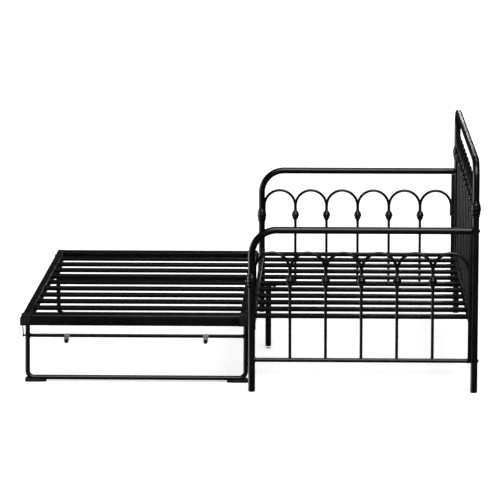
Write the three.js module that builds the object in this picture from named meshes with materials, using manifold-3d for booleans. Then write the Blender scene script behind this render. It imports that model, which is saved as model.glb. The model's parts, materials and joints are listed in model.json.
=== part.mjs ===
// Metal daybed with a pop-up trundle bed raised beside it.
//
// Millimetres, +Z up. X runs along the bed's length, -Y is the front, where the
// trundle stands, +Y is the back panel. The origin is on the floor, under the
// middle of the whole object. The rest pose is the trundle raised to the
// daybed's deck height on its two folding legs.

import * as THREE from 'three';
import { mergeVertices } from 'three/addons/utils/BufferGeometryUtils.js';
import Module from 'manifold-3d';

const wasm = await Module();
wasm.setup();

// ---------------------------------------------------------------- dimensions

const GAP = 0.3;                 // left between two pieces that touch

const LENGTH = 2000;             // between the planes of the two arms
const DEPTH = 1012;              // front post axis to back post axis
const FRONT_Y = 16.75;           // front post axis
const BACK_Y = FRONT_Y + DEPTH;  // back post axis
const END_X = LENGTH / 2;

const POST_D = 32;
const POST_R = POST_D / 2;
const ARM_TOP_Z = 745;
const ARM_BEND = 115;
const ARM_RAIL_Z = 147;
const ARM_RAIL_D = 20;
const STILE_DEPTH = 13.5;
const STILE_WIDTH = 18;

const ARCHES_PER_ARM = 6;
const ARM_GRILLE_START_Y = FRONT_Y + 12.5;
const ARM_ARCH_PITCH = 161.8;
const ARM_ARCH_TOP_Z = 641.5;
const ARM_CASTING_Z = 512;

const ROD_D = 14;
const LEG_OFFSET = 1;            // each arch leg stands this far from its spindle's axis
const CASTING = [[29, 7.5], [16, 16.5], [0, 20], [-12, 15.5], [-29, 7.5]];
const POST_CASTING = [[36, 17], [22, 20], [0, 23.5], [-24, 20.5], [-36, 17]];
const POST_CASTING_DROP = 3;     // an arm's post casting sits this far below the row

const BACK_TOP_Z = 1060;
const BACK_BEND = 90;
const ARCHES_IN_BACK = 12;
const BACK_GRILLE_HALF = 987.5;
const BACK_ARCH_TOP_Z = 956;
const BACK_CASTING_Z = 844;

const DECK_Z = 335;
const SLAT_WIDTH = 50;
const SLAT_THICK = 16;
const SLAT_PITCH = 173.7;
const SLAT_COUNT = 11;
const MIDDLE_SLAT = (SLAT_COUNT - 1) / 2;
const FRONT_RAIL = { y0: FRONT_Y - 4, y1: FRONT_Y + 16, height: 40 };
const BACK_RAIL = { y0: BACK_Y - 23, y1: BACK_Y + 7, height: 40 };
const MIDDLE_BAR = { width: 50, height: 16 };
const MIDDLE_LEG = { y: FRONT_Y + 55, size: 28, plate: 60, plateThick: 4 };
const GLIDE = { height: 15, padHeight: 8, padRadius: 13.5, stemRadius: 5 };
const BOLT = { radius: 8, height: 5 };

const TRUNDLE_Y = FRONT_Y - 539;
const TRUNDLE_HALF_LENGTH = 925;
const TRUNDLE_HALF_WIDTH = 517;
const SIDE_RAIL_WIDTH = 34;
const END_RAIL_WIDTH = 30;
const TRUNDLE_RAIL_HEIGHT = 49;
const TRUNDLE_RAIL_BOTTOM = DECK_Z - TRUNDLE_RAIL_HEIGHT;
const TRUNDLE_BAR_WIDTH = 50;

const PIVOT = { x: 766, z: 272 };      // fold axis of a leg
const FOOT = { x: 800, z: 19.5 };      // axis of a leg's floor tube, splayed outward
const BAR_Z = 211.5;                   // axis of a leg's caster bar
const LEG_D = 22;
const LEG_HALF_WIDTH = 506;
const LEG_BEND = 31;
const LEG_TOP = 6;                     // tube end beyond the pivot
const BAR_D = 16.5;
const PIVOT_PIN_R = 4;
const PIVOT_CLEARANCE = 0.5;
const LUG = { thick: 5, halfWidth: 16, bottomZ: 258, inset: 24 };
const PIVOT_HEAD = { radius: 7, thick: 4 };
const PAD = { length: 98, width: 28, height: 14, outward: 3.5 };  // clears the side rail when folded

const LINK = { thick: 3.5, inset: 6.7, halfWidth: 7, slotStart: 93, slotEnd: 124 };
const ANCHOR = { x: 822.5, z: 300, radius: 3 };
const STUB_R = 4;
const LINK_CLEARANCE = 0.6;
const HEAD = { reach: 13, thick: 1.6, radius: 6 };

const CASTER_Y = 322;                  // each side of the trundle's middle
const CASTER = {
  bossRadius: 9, bossEnd: 12, headRadius: 12, headEnd: 15.5, axleReach: 45, trail: 20,
  cheekInner: 9, cheekOuter: 11, axleRadius: 2.5,
};
const WHEEL = { radius: 13, shoulder: 11.5, halfWidth: 7.5, bore: 3 };

// ------------------------------------------------------------------ materials

const blackSteel = new THREE.MeshStandardMaterial({ color: 0x0b0b0c, roughness: 0.32, metalness: 0.2 });
const slatSteel = new THREE.MeshStandardMaterial({ color: 0x0d0d0e, roughness: 0.42, metalness: 0.2 });
const zincSteel = new THREE.MeshStandardMaterial({ color: 0xb4b6b8, roughness: 0.35, metalness: 0.9 });
const wheelPlastic = new THREE.MeshStandardMaterial({ color: 0x101011, roughness: 0.5, metalness: 0 });
const padPlastic = new THREE.MeshStandardMaterial({ color: 0x121213, roughness: 0.6, metalness: 0 });
const glidePlastic = new THREE.MeshStandardMaterial({ color: 0xe9e9e4, roughness: 0.5, metalness: 0 });

// ------------------------------------------------------------------- helpers

// A path given by its own stations, each a point with the direction of travel.
class StationPath extends THREE.Curve {
  constructor(stations) {
    super();
    this.stations = stations;
  }

  at(u) {
    return this.stations[Math.round(u * (this.stations.length - 1))];
  }

  getPoint(u, target = new THREE.Vector3()) {
    return target.copy(this.at(u).point);
  }

  getPointAt(u, target) {
    return this.getPoint(u, target);
  }

  getTangentAt(u, target = new THREE.Vector3()) {
    return target.copy(this.at(u).direction);
  }
}

function circleShape(radius, sides) {
  const points = [];
  for (let i = 0; i < sides; i += 1) {
    const angle = (2 * Math.PI * i) / sides;
    points.push(new THREE.Vector2(radius * Math.cos(angle), radius * Math.sin(angle)));
  }
  return new THREE.Shape(points);
}

function tube(stations, radius, sides) {
  return new THREE.ExtrudeGeometry(circleShape(radius, sides), {
    steps: stations.length - 1,
    bevelEnabled: false,
    extrudePath: new StationPath(stations),
  });
}

// Stations of a polyline whose inner corners are rounded to one bend radius.
function roundedPath(corners, bendRadius, bendSteps) {
  const stations = [];
  for (let i = 0; i < corners.length; i += 1) {
    const corner = corners[i];
    const before = i > 0 ? corner.clone().sub(corners[i - 1]).normalize() : null;
    const after = i < corners.length - 1 ? corners[i + 1].clone().sub(corner).normalize() : null;
    if (!before || !after) {
      stations.push({ point: corner.clone(), direction: before ?? after });
      continue;
    }
    const turn = before.angleTo(after);
    const axis = before.clone().cross(after).normalize();
    const start = corner.clone().addScaledVector(before, -bendRadius * Math.tan(turn / 2));
    const centre = start.clone().addScaledVector(axis.clone().cross(before), bendRadius);
    for (let step = 0; step <= bendSteps; step += 1) {
      const angle = (turn * step) / bendSteps;
      const arm = start.clone().sub(centre).applyAxisAngle(axis, angle);
      stations.push({
        point: centre.clone().add(arm),
        direction: before.clone().applyAxisAngle(axis, angle),
      });
    }
  }
  return stations;
}

function straight(from, to, radius, sides) {
  return tube(roundedPath([from, to], 0, 0), radius, sides);
}

function vec(x, y, z) {
  return new THREE.Vector3(x, y, z);
}

function box(x0, x1, y0, y1, z0, z1) {
  const geometry = new THREE.BoxGeometry(x1 - x0, y1 - y0, z1 - z0);
  geometry.translate((x0 + x1) / 2, (y0 + y1) / 2, (z0 + z1) / 2);
  return geometry;
}

// A solid of revolution about a vertical axis, from [height, radius] pairs, top first.
function turned(profile, sides) {
  const first = profile[0];
  const last = profile[profile.length - 1];
  const points = [
    new THREE.Vector2(0, last[0]),
    ...[...profile].reverse().map(([height, radius]) => new THREE.Vector2(radius, height)),
    new THREE.Vector2(0, first[0]),
  ];
  const geometry = new THREE.LatheGeometry(points, sides);
  geometry.rotateX(Math.PI / 2);
  return geometry;
}

function weldVertices(geometry) {
  const bare = geometry.clone();
  bare.deleteAttribute('normal');
  bare.deleteAttribute('uv');
  return mergeVertices(bare, 1e-4);
}

function solid(geometry) {
  const welded = weldVertices(geometry);
  return new wasm.Manifold(new wasm.Mesh({
    numProp: 3,
    vertProperties: new Float32Array(welded.attributes.position.array),
    triVerts: new Uint32Array(welded.index.array),
  }));
}

function joined(geometries) {
  return geometries.map(solid).reduce((sum, next) => sum.add(next));
}

function geometryOf(manifold) {
  const mesh = manifold.getMesh();
  const geometry = new THREE.BufferGeometry();
  geometry.setAttribute('position', new THREE.BufferAttribute(mesh.vertProperties, 3));
  geometry.setIndex(new THREE.BufferAttribute(mesh.triVerts, 1));
  geometry.computeVertexNormals();
  return geometry;
}

const object = new THREE.Group();

function add(name, geometry, material, parent = object) {
  const mesh = new THREE.Mesh(geometry, material);
  mesh.name = name;
  parent.add(mesh);
  return mesh;
}

// ---------------------------------------------------------------------- grille

const ARCH_STEPS = 6;
const ROD_SIDES = 6;
const CASTING_SIDES = 6;

// One row of round arches on spindles, drawn in its own plane: u runs along the
// row and z is up. place(u, z) gives the point in the object's frame.
function grilleRow({ start, pitch, arches, archTopZ, castingZ, footZ, place }) {
  const pieces = [];
  const archRadius = pitch / 2 - LEG_OFFSET;
  const springZ = archTopZ - archRadius;
  for (let i = 0; i < arches; i += 1) {
    const left = start + i * pitch + LEG_OFFSET;
    const right = start + (i + 1) * pitch - LEG_OFFSET;
    const centre = (left + right) / 2;
    const stations = [{ point: place(left, castingZ), direction: place.up }];
    for (let step = 0; step <= ARCH_STEPS; step += 1) {
      const angle = Math.PI * (1 - step / ARCH_STEPS);
      stations.push({
        point: place(centre + archRadius * Math.cos(angle), springZ + archRadius * Math.sin(angle)),
        direction: place.along.clone().multiplyScalar(Math.sin(angle))
          .addScaledVector(place.up, -Math.cos(angle)),
      });
    }
    stations.push({ point: place(right, castingZ), direction: place.up.clone().negate() });
    pieces.push(tube(stations, ROD_D / 2, ROD_SIDES));
  }
  for (let i = 1; i < arches; i += 1) {
    const u = start + i * pitch;
    pieces.push(straight(place(u, footZ), place(u, castingZ), ROD_D / 2, ROD_SIDES));
    const casting = turned(CASTING, CASTING_SIDES);
    const centre = place(u, castingZ);
    casting.translate(centre.x, centre.y, centre.z);
    pieces.push(casting);
  }
  return pieces;
}

function rowPlane(toPoint, along) {
  const place = (u, z) => toPoint(u, z);
  place.up = vec(0, 0, 1);
  place.along = along;
  return place;
}

// The room that a post and its casting need, cut from the row beside it.
function postRoom(x, y, topZ, castingZ) {
  const [top, , middle, , bottom] = POST_CASTING;
  return joined([
    straight(vec(x, y, 0), vec(x, y, topZ), POST_R + 2 * GAP, 24),
    straight(
      vec(x, y, castingZ + bottom[0] - GAP), vec(x, y, castingZ + top[0] + GAP),
      middle[1] + 2 * GAP, 24,
    ),
  ]);
}

// ------------------------------------------------------------------ daybed arms

function postCasting(x, y, z) {
  const geometry = turned(POST_CASTING, 12);
  geometry.translate(x, y, z);
  return geometry;
}

function addArm(end, x) {
  const rearEnd = BACK_Y - POST_R - GAP;
  const bentTube = tube(roundedPath([
    vec(x, FRONT_Y, 0), vec(x, FRONT_Y, ARM_TOP_Z), vec(x, rearEnd, ARM_TOP_Z),
  ], ARM_BEND, 8), POST_R, 12);
  const castingZ = ARM_CASTING_Z - POST_CASTING_DROP;
  add(`${end}_arm_tube`, geometryOf(joined([bentTube, postCasting(x, FRONT_Y, castingZ)])), blackSteel);

  const stile = box(
    x - STILE_WIDTH / 2, x + STILE_WIDTH / 2,
    rearEnd - STILE_DEPTH, rearEnd,
    ARM_RAIL_Z - ARM_RAIL_D / 2, ARM_TOP_Z - POST_R - GAP,
  );
  const rail = straight(
    vec(x, FRONT_Y + POST_R + GAP, ARM_RAIL_Z), vec(x, rearEnd - 1, ARM_RAIL_Z), ARM_RAIL_D / 2, 12,
  );
  const row = grilleRow({
    start: ARM_GRILLE_START_Y,
    pitch: ARM_ARCH_PITCH,
    arches: ARCHES_PER_ARM,
    archTopZ: ARM_ARCH_TOP_Z,
    castingZ: ARM_CASTING_Z,
    footZ: ARM_RAIL_Z,
    place: rowPlane((u, z) => vec(x, u, z), vec(0, 1, 0)),
  });
  const beyondStile = solid(box(x - 30, x + 30, rearEnd, rearEnd + 30, 0, ARM_TOP_Z));
  const panel = joined([stile, rail, ...row])
    .subtract(postRoom(x, FRONT_Y, ARM_TOP_Z, castingZ))
    .subtract(beyondStile);
  add(`${end}_arm_grille`, geometryOf(panel), blackSteel);

  for (const [level, z] of [['upper', ARM_TOP_Z], ['lower', ARM_RAIL_Z]]) {
    const { radius, height } = BOLT;
    const bolt = turned([[height, radius * 0.45], [height * 0.6, radius * 0.85], [0, radius]], 10);
    bolt.rotateX(-Math.PI / 2);
    bolt.translate(x, BACK_Y + POST_R + GAP, z);
    add(`${end}_${level}_arm_bolt`, bolt, blackSteel);
  }
}

addArm('near', END_X);
addArm('far', -END_X);

// ------------------------------------------------------------------- back panel

const backTube = tube(roundedPath([
  vec(-END_X, BACK_Y, 0), vec(-END_X, BACK_Y, BACK_TOP_Z),
  vec(END_X, BACK_Y, BACK_TOP_Z), vec(END_X, BACK_Y, 0),
], BACK_BEND, 8), POST_R, 12);
add('back_tube', geometryOf(joined([
  backTube, postCasting(-END_X, BACK_Y, BACK_CASTING_Z), postCasting(END_X, BACK_Y, BACK_CASTING_Z),
])), blackSteel);

const backRow = joined(grilleRow({
  start: -BACK_GRILLE_HALF,
  pitch: (2 * BACK_GRILLE_HALF) / ARCHES_IN_BACK,
  arches: ARCHES_IN_BACK,
  archTopZ: BACK_ARCH_TOP_Z,
  castingZ: BACK_CASTING_Z,
  footZ: DECK_Z + GAP,
  place: rowPlane((u, z) => vec(u, BACK_Y, z), vec(1, 0, 0)),
}));
add('back_grille', geometryOf(
  backRow
    .subtract(postRoom(-END_X, BACK_Y, BACK_TOP_Z, BACK_CASTING_Z))
    .subtract(postRoom(END_X, BACK_Y, BACK_TOP_Z, BACK_CASTING_Z)),
), blackSteel);

// ------------------------------------------------------------------ daybed deck

const railEnd = END_X - POST_R - GAP;
for (const [name, rail] of [['front_rail', FRONT_RAIL], ['back_rail', BACK_RAIL]]) {
  add(name, box(-railEnd, railEnd, rail.y0, rail.y1, DECK_Z - rail.height, DECK_Z), blackSteel);
}

function addSlats(prefix, y0, y1, middleWidth, middleHeight, middleName) {
  for (let i = 0; i < SLAT_COUNT; i += 1) {
    const x = (MIDDLE_SLAT - i) * SLAT_PITCH;
    const middle = i === MIDDLE_SLAT;
    const half = (middle ? middleWidth : SLAT_WIDTH) / 2;
    const height = middle ? middleHeight : SLAT_THICK;
    const name = middle ? middleName : `${prefix}_slat_${i < MIDDLE_SLAT ? i + 1 : i}`;
    add(name, box(x - half, x + half, y0, y1, DECK_Z - height, DECK_Z), slatSteel);
  }
}

addSlats('daybed', FRONT_RAIL.y1 + GAP, BACK_RAIL.y0 - GAP,
  MIDDLE_BAR.width, MIDDLE_BAR.height, 'daybed_middle_bar');

const legTop = DECK_Z - MIDDLE_BAR.height - GAP;
const halfLeg = MIDDLE_LEG.size / 2;
const halfPlate = MIDDLE_LEG.plate / 2;
const middleLeg = box(
  -halfLeg, halfLeg, MIDDLE_LEG.y - halfLeg, MIDDLE_LEG.y + halfLeg, GLIDE.height + GAP, legTop,
);
const legPlate = box(
  -halfPlate, halfPlate, MIDDLE_LEG.y - halfPlate + 10, MIDDLE_LEG.y + halfPlate + 10,
  legTop - MIDDLE_LEG.plateThick, legTop,
);
add('middle_leg', geometryOf(joined([middleLeg, legPlate])), blackSteel);

const glide = turned([
  [GLIDE.height, GLIDE.stemRadius], [GLIDE.padHeight, GLIDE.stemRadius],
  [GLIDE.padHeight - 2, GLIDE.padRadius], [0, GLIDE.padRadius],
], 16);
glide.translate(0, MIDDLE_LEG.y, 0);
add('middle_leg_glide', glide, glidePlastic);

// ---------------------------------------------------------------- trundle frame

// side is -1 for the front rail, away from the daybed, and +1 for the back rail.
function addTrundleSideRail(name, side) {
  const outer = TRUNDLE_Y + side * TRUNDLE_HALF_WIDTH;
  const inner = outer - side * SIDE_RAIL_WIDTH;
  const lugOuter = outer - side * LUG.inset;
  const lugInner = lugOuter - side * LUG.thick;
  const pieces = [box(
    -TRUNDLE_HALF_LENGTH, TRUNDLE_HALF_LENGTH, Math.min(outer, inner), Math.max(outer, inner),
    TRUNDLE_RAIL_BOTTOM, DECK_Z,
  )];
  const holes = [];
  for (const end of [-1, 1]) {
    const x = end * PIVOT.x;
    pieces.push(box(
      x - LUG.halfWidth, x + LUG.halfWidth, Math.min(lugOuter, lugInner), Math.max(lugOuter, lugInner),
      LUG.bottomZ, TRUNDLE_RAIL_BOTTOM + 1,
    ));
    holes.push(straight(
      vec(x, lugOuter + side, PIVOT.z), vec(x, lugInner - side, PIVOT.z),
      PIVOT_PIN_R + PIVOT_CLEARANCE, 16,
    ));
    const anchorX = end * ANCHOR.x;
    pieces.push(straight(
      vec(anchorX, outer - side * 4, ANCHOR.z), vec(anchorX, outer + side * HEAD.reach, ANCHOR.z),
      ANCHOR.radius, 10,
    ));
    pieces.push(straight(
      vec(anchorX, outer + side * (HEAD.reach - HEAD.thick), ANCHOR.z),
      vec(anchorX, outer + side * HEAD.reach, ANCHOR.z), HEAD.radius, 12,
    ));
  }
  const rail = holes.map(solid).reduce((left, hole) => left.subtract(hole), joined(pieces));
  add(name, geometryOf(rail), blackSteel);
}

addTrundleSideRail('trundle_front_rail', -1);
addTrundleSideRail('trundle_back_rail', 1);

const trundleInner = TRUNDLE_HALF_WIDTH - SIDE_RAIL_WIDTH - GAP;
for (const [end, sign] of [['near', 1], ['far', -1]]) {
  const faces = [sign * TRUNDLE_HALF_LENGTH, sign * (TRUNDLE_HALF_LENGTH - END_RAIL_WIDTH)];
  add(`trundle_${end}_end_rail`, box(
    Math.min(...faces), Math.max(...faces), TRUNDLE_Y - trundleInner, TRUNDLE_Y + trundleInner,
    TRUNDLE_RAIL_BOTTOM, DECK_Z,
  ), blackSteel);
}
addSlats('trundle', TRUNDLE_Y - trundleInner, TRUNDLE_Y + trundleInner,
  TRUNDLE_BAR_WIDTH, MIDDLE_BAR.height, 'trundle_middle_bar');

// ----------------------------------------------------------------- folding legs

// The leg leans outward from its pivot to its foot. These are directions for the
// near leg; the far leg is the near one mirrored in X.
const legVector = new THREE.Vector2(FOOT.x - PIVOT.x, FOOT.z - PIVOT.z).normalize();
const casterVector = new THREE.Vector2(-legVector.y, legVector.x);
const barDistance = (BAR_Z - PIVOT.z) / legVector.y;
const BAR = { x: PIVOT.x + legVector.x * barDistance, z: BAR_Z };

function legTube(end, radius) {
  const topX = PIVOT.x - legVector.x * LEG_TOP;
  const topZ = PIVOT.z - legVector.y * LEG_TOP;
  const left = TRUNDLE_Y - LEG_HALF_WIDTH;
  const right = TRUNDLE_Y + LEG_HALF_WIDTH;
  return tube(roundedPath([
    vec(end * topX, left, topZ), vec(end * FOOT.x, left, FOOT.z),
    vec(end * FOOT.x, right, FOOT.z), vec(end * topX, right, topZ),
  ], LEG_BEND, 5), radius, 10);
}

// Turns a piece drawn pointing up, about the origin, to point along the caster axis.
function alongCasterAxis(geometry, end, y) {
  geometry.rotateY(Math.PI / 2);
  geometry.rotateY(-Math.atan2(casterVector.y, casterVector.x));
  geometry.translate(BAR.x, y, BAR.z);
  if (end < 0) {
    geometry.rotateZ(Math.PI);
    geometry.translate(0, 2 * y, 0);
  }
  return geometry;
}

function addLeg(name, end) {
  const outerFace = LEG_HALF_WIDTH + LEG_D / 2;
  const pieces = [legTube(end, LEG_D / 2)];
  pieces.push(straight(
    vec(end * BAR.x, TRUNDLE_Y - LEG_HALF_WIDTH, BAR.z),
    vec(end * BAR.x, TRUNDLE_Y + LEG_HALF_WIDTH, BAR.z), BAR_D / 2, 12,
  ));
  for (const side of [-1, 1]) {
    const pivotInner = TRUNDLE_HALF_WIDTH - LUG.inset - LUG.thick - GAP;
    const along = (reach, x, z) => vec(end * x, TRUNDLE_Y + side * reach, z);
    pieces.push(straight(
      along(LEG_HALF_WIDTH, PIVOT.x, PIVOT.z),
      along(pivotInner - PIVOT_HEAD.thick, PIVOT.x, PIVOT.z), PIVOT_PIN_R, 12,
    ));
    pieces.push(straight(
      along(pivotInner, PIVOT.x, PIVOT.z),
      along(pivotInner - PIVOT_HEAD.thick, PIVOT.x, PIVOT.z), PIVOT_HEAD.radius, 6,
    ));
    const stubEnd = outerFace + HEAD.reach;
    pieces.push(straight(along(LEG_HALF_WIDTH, BAR.x, BAR.z), along(stubEnd, BAR.x, BAR.z), STUB_R, 12));
    pieces.push(straight(
      along(stubEnd - HEAD.thick, BAR.x, BAR.z), along(stubEnd, BAR.x, BAR.z), HEAD.radius, 12,
    ));
    const boss = turned([[CASTER.bossEnd, CASTER.bossRadius], [0, CASTER.bossRadius]], 12);
    pieces.push(alongCasterAxis(boss, end, TRUNDLE_Y + side * CASTER_Y));
  }
  add(name, geometryOf(joined(pieces)), blackSteel);
}

function addPad(name, end, side) {
  const outer = TRUNDLE_Y + side * (LEG_HALF_WIDTH + LEG_D / 2);
  const inner = outer - side * PAD.length;
  const x = end * (FOOT.x + PAD.outward);
  const block = solid(box(
    x - PAD.width / 2, x + PAD.width / 2, Math.min(outer, inner), Math.max(outer, inner), 0, PAD.height,
  ));
  add(name, geometryOf(block.subtract(solid(legTube(end, LEG_D / 2 + GAP + 0.1)))), padPlastic);
}

// A flat strap that turns on the caster bar's stub; the rail's anchor pin runs in its slot.
function addLink(name, end, side) {
  const slotHalf = ANCHOR.radius + LINK_CLEARANCE;
  const shape = new THREE.Shape();
  shape.absarc(0, LINK.slotEnd, LINK.halfWidth, 0, Math.PI);
  shape.absarc(0, 0, LINK.halfWidth, Math.PI, 2 * Math.PI);
  const eye = new THREE.Path();
  eye.absarc(0, 0, STUB_R + LINK_CLEARANCE, 0, 2 * Math.PI, true);
  const slot = new THREE.Path();
  slot.absarc(0, LINK.slotEnd, slotHalf, Math.PI, 0, true);
  slot.absarc(0, LINK.slotStart, slotHalf, 0, -Math.PI, true);
  shape.holes.push(eye, slot);
  const geometry = new THREE.ExtrudeGeometry(shape, {
    depth: LINK.thick, bevelEnabled: false, curveSegments: 5,
  });
  geometry.translate(0, 0, -LINK.thick / 2);
  geometry.rotateX(Math.PI / 2);
  const lean = Math.atan2(ANCHOR.x - BAR.x, ANCHOR.z - BAR.z);
  geometry.rotateY(end * lean);
  const middle = TRUNDLE_HALF_WIDTH + LINK.inset + LINK.thick / 2;
  geometry.translate(end * BAR.x, TRUNDLE_Y + side * middle, BAR.z);
  add(name, geometry, blackSteel);
}

// The fork is drawn with its swivel axis up and its trail towards +X.
function addFork(name, end, y) {
  const { headRadius, headEnd, bossEnd, axleReach, trail, cheekInner, cheekOuter } = CASTER;
  const head = turned([[headEnd, headRadius], [bossEnd + GAP, headRadius]], 12);
  const pieces = [head];
  for (const side of [-1, 1]) {
    const cheek = new THREE.Shape([
      new THREE.Vector2(-headRadius + 4, headEnd - 2), new THREE.Vector2(headRadius - 1, headEnd - 2),
      new THREE.Vector2(trail + 8, axleReach - 6), new THREE.Vector2(trail + 6, axleReach + 4),
      new THREE.Vector2(trail, axleReach + 6.5), new THREE.Vector2(trail - 6, axleReach + 4),
      new THREE.Vector2(trail - 9, axleReach - 7),
    ]);
    const plate = new THREE.ExtrudeGeometry(cheek, { depth: cheekOuter - cheekInner, bevelEnabled: false });
    plate.rotateX(Math.PI / 2);
    plate.translate(0, side > 0 ? cheekOuter : -cheekInner, 0);
    pieces.push(plate);
  }
  pieces.push(box(
    -headRadius + 5, headRadius - 2, -cheekOuter, cheekOuter, bossEnd + GAP, headEnd,
  ));
  pieces.push(straight(
    vec(trail, -cheekOuter - 1, axleReach), vec(trail, cheekOuter + 1, axleReach), CASTER.axleRadius, 10,
  ));
  add(name, alongCasterAxis(geometryOf(joined(pieces)), end, y), zincSteel);
}

function addWheel(name, end, y) {
  const { radius, shoulder, halfWidth, bore } = WHEEL;
  const profile = [
    new THREE.Vector2(bore, -halfWidth), new THREE.Vector2(shoulder, -halfWidth),
    new THREE.Vector2(radius, -halfWidth + 2), new THREE.Vector2(radius, halfWidth - 2),
    new THREE.Vector2(shoulder, halfWidth), new THREE.Vector2(bore, halfWidth),
    new THREE.Vector2(bore, -halfWidth),
  ];
  const geometry = new THREE.LatheGeometry(profile, 16);
  geometry.translate(CASTER.trail, 0, CASTER.axleReach);
  add(name, alongCasterAxis(geometry, end, y), wheelPlastic);
}

for (const [endName, end] of [['near', 1], ['far', -1]]) {
  addLeg(`${endName}_leg`, end);
  for (const [sideName, side] of [['front', -1], ['back', 1]]) {
    const corner = `${endName}_${sideName}`;
    const casterY = TRUNDLE_Y + side * CASTER_Y;
    addPad(`${corner}_foot_pad`, end, side);
    addLink(`${corner}_link`, end, side);
    addFork(`${corner}_caster_fork`, end, casterY);
    addWheel(`${corner}_caster_wheel`, end, casterY);
  }
}

export default object;
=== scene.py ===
"""A black metal daybed with its pop-up trundle raised beside it.

Metres, +Z up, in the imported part's frame: X runs along the bed, -Y is the
trundle's side, +Y is the back panel. Every piece is built here in mesh code
around the CAD frame and rides on the CAD body it belongs to.
"""

import json
import math

import bmesh
import bpy
from mathutils import Matrix, Vector, noise


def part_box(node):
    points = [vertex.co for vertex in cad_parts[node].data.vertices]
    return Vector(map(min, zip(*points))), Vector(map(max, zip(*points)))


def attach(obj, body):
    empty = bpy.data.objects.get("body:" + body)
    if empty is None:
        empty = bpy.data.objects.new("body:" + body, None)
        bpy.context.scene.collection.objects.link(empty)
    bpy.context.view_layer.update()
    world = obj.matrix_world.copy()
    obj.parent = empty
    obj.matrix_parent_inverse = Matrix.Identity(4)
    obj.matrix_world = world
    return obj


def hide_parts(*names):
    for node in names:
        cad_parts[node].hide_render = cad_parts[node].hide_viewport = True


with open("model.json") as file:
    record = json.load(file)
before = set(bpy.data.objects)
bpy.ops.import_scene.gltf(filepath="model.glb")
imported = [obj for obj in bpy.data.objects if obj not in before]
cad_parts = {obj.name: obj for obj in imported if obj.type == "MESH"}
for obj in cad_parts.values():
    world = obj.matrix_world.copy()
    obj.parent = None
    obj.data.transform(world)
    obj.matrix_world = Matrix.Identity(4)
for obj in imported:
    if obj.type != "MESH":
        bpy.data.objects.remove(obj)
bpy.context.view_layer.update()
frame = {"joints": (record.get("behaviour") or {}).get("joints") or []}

# ------------------------------------------------------------------ dimensions

MM = 0.001

POST_R = 16 * MM
ARM_BEND = 115 * MM
BACK_BEND = 90 * MM
RAIL_R = 10 * MM
ROD_R = 7 * MM
LEG_R = 11 * MM
LEG_BEND = 31 * MM
BAR_R = 8.25 * MM
ARCHES_PER_ARM = 6
ARM_ARCH_PITCH = 161.8 * MM
STILE_DEPTH = 13.5 * MM
STILE_HALF_WIDTH = 9 * MM
ARCHES_IN_BACK = 12
ARCH_LEG_OFFSET = 1 * MM
POST_CASTING_R = 23.5 * MM
CASTING_DROP = 3 * MM
ARM_CASTING_BELOW_ARCH = 129.5 * MM
BACK_CASTING_BELOW_ARCH = 112 * MM
GRILLE_INSET = 12.5 * MM
HEAD_REACH = 13 * MM
CAP_HEIGHT = 4 * MM
SLATS_PER_DECK = 10
TUBE_SIDES = 40
ROD_SIDES = 20

# Heights above a casting's middle, with radii, top first.
CASTING_PROFILE = [
    (29, 7.6), (27, 9.0), (24.5, 9.4), (22.5, 8.6), (20.5, 11.0), (17, 14.8), (12, 17.2), (9.5, 16.6),
    (7, 18.2), (3, 19.7), (0, 20.0), (-3.5, 19.2), (-6.5, 16.4), (-9, 15.6), (-11.5, 16.6),
    (-15, 15.6), (-19, 12.6), (-21.5, 9.2), (-24, 9.8), (-26.5, 9.0), (-29, 7.4),
]
POST_CASTING_PROFILE = [
    (36, 16.2), (34.5, 17.6), (31, 18.2), (29, 17.2), (26, 18.6), (20, 21.0), (14, 22.2), (11, 21.6),
    (8, 22.8), (3, 23.4), (-1, 23.5), (-5, 22.8), (-8.5, 21.0), (-11.5, 20.6), (-15, 21.4),
    (-20, 20.8), (-25, 18.8), (-28, 17.4), (-31, 18.2), (-34.5, 17.6), (-36, 16.2),
]
# Flat pin heads and slat rivets: heights in metres, with radii, top first.
PIN_HEAD = [(1.6 * MM, 3.6 * MM), (1.3 * MM, 5.2 * MM), (0.7 * MM, 6 * MM), (0, 6 * MM)]
SLAT_RIVET = [(1.2 * MM, 1.6 * MM), (1.0 * MM, 2.8 * MM), (0.4 * MM, 3.6 * MM), (0, 3.7 * MM)]


def joint(name):
    """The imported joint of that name."""
    return next(j for j in frame["joints"] if j["name"] == name)


arm_low, arm_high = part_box("near_arm_tube")
back_low, back_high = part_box("back_tube")
grille_low, grille_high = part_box("near_arm_grille")
back_grille_low, back_grille_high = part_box("back_grille")

FRONT_Y = arm_low.y + POST_CASTING_R
BACK_Y = back_high.y - POST_CASTING_R
END_X = back_high.x - POST_CASTING_R
ARM_TOP_Z = arm_high.z - POST_R
BACK_TOP_Z = back_high.z - POST_R
ARM_REAR_Y = arm_high.y
ARM_RAIL_Z = grille_low.z + RAIL_R
ARM_ARCH_Z = 641.5 * MM
BACK_ARCH_Z = back_grille_high.z - ROD_R
STILE_Z = grille_high.z
DECK_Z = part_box("daybed_slat_1")[1].z


# ------------------------------------------------------------------- materials


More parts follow.
